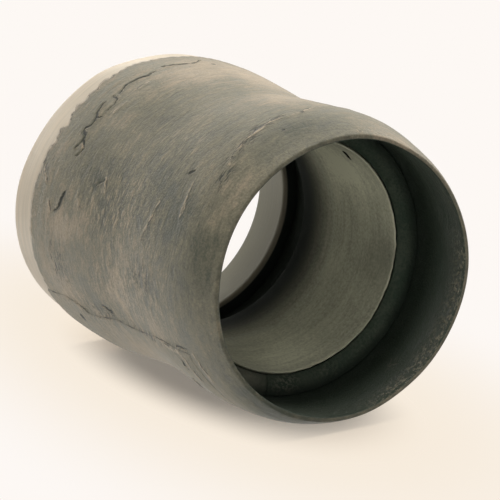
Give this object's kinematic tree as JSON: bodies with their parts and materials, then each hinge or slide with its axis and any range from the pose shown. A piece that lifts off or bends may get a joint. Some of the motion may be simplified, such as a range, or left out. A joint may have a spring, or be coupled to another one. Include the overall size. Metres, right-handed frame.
{
  "type": "flexible rubber pipe coupling",
  "caption": "Flexible rubber sleeve with an hourglass outline that joins two pipe ends, with a socket and a stop at each end of a lined bore.",
  "frame": {"origin": "on the bore's axis, in the plane of the front mouth, which the coupling stands on", "axes": "+Z along the bore from the front mouth to the rear ring; +Y towards the side that lies lowest in the picture, near the stop band's lap; +X completes the right-handed frame"},
  "size_m": [0.134, 0.134, 0.17],
  "materials": {
    "wrapped_rubber": "wiped, mottled grey-olive rubber wrap with a low sheen",
    "liner_rubber": "matt, dusty grey-olive rubber",
    "band_rubber": "matt dark rubber strip",
    "ring_rubber": "smooth, paler grey-beige rubber with a soft sheen"
  },
  "bodies": {
    "root": {"rubber_body": "wrapped_rubber", "inner_sleeve": "liner_rubber", "shoulder_band": "band_rubber", "rear_ring": "ring_rubber"}
  },
  "joints": []
}
